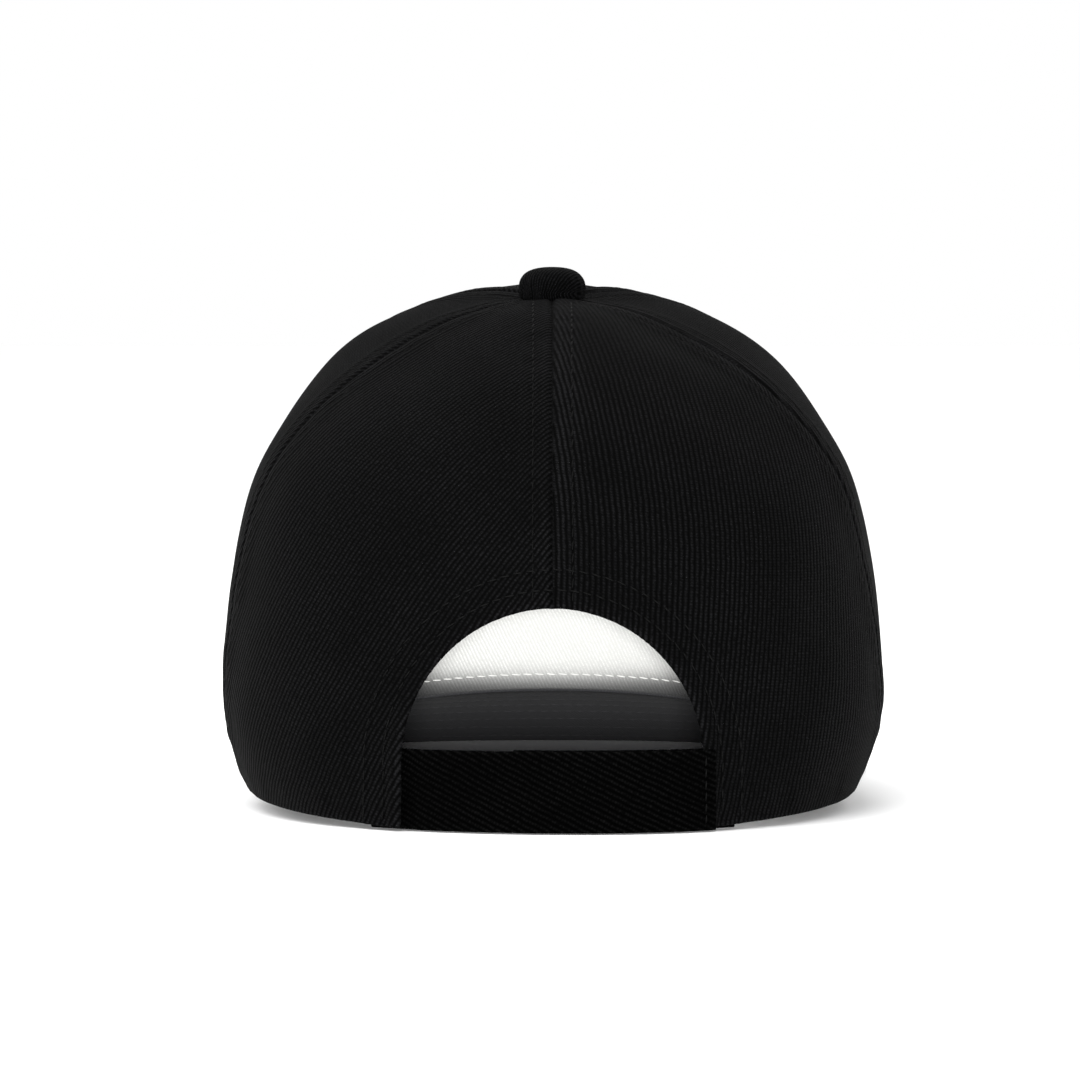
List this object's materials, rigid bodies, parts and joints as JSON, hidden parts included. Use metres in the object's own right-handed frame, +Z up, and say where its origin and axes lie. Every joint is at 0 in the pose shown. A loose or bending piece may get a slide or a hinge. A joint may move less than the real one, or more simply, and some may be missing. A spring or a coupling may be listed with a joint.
{
  "type": "baseball cap",
  "caption": "Six-panel baseball cap with a structured front, curved brim, covered top button, and an arch opening at the back closed by a hook-and-loop strap.",
  "frame": {"origin": "middle of the head opening, under the button, on the plane the cap stands on", "axes": "+Z up; -Y towards the brim's front edge, +Y towards the arch opening and strap; +X to the wearer's left"},
  "size_m": [0.1684, 0.2658, 0.1352],
  "materials": {
    "twill": "matte",
    "buckram": "matte",
    "seam_tape": "matte",
    "sweatband": "matte",
    "label": "satin",
    "hook_tape": "matte",
    "loop_tape": "matte",
    "brim_board": "matte",
    "button_metal": "satin"
  },
  "bodies": {
    "crown": {"front_panel_left": "twill", "front_panel_right": "twill", "side_panel_left": "twill", "side_panel_right": "twill", "back_panel_left": "twill", "back_panel_right": "twill", "buckram_left": "buckram", "buckram_right": "buckram", "seam_tape_back": "seam_tape", "seam_tape_front": "seam_tape", "seam_tape_side_back_left": "seam_tape", "seam_tape_side_back_right": "seam_tape", "seam_tape_side_front_left": "seam_tape", "seam_tape_side_front_right": "seam_tape", "sweatband": "sweatband", "arch_facing": "twill", "care_label": "label", "strap_root": "twill", "tab_root": "twill", "brim_top_cover": "twill", "brim_board": "brim_board", "brim_under_cover": "twill", "button_cover": "twill", "button_shell": "button_metal", "button_washer": "button_metal", "button_post": "button_metal"},
    "strap": {"strap": "twill", "hook_patch": "hook_tape"},
    "tab": {"tab": "twill", "loop_patch": "loop_tape"}
  },
  "joints": [
    {"name": "strap_open", "type": "hinge", "parent": "crown", "child": "strap", "pos_m": [0.0364, 0.0906, 0.01], "axis": [0, 0, -1], "range_deg": [0, 140]},
    {"name": "tab_fold", "type": "hinge", "parent": "crown", "child": "tab", "pos_m": [-0.0364, 0.0846, 0.01], "axis": [0, 0, -1], "range_deg": [0, 60]}
  ]
}
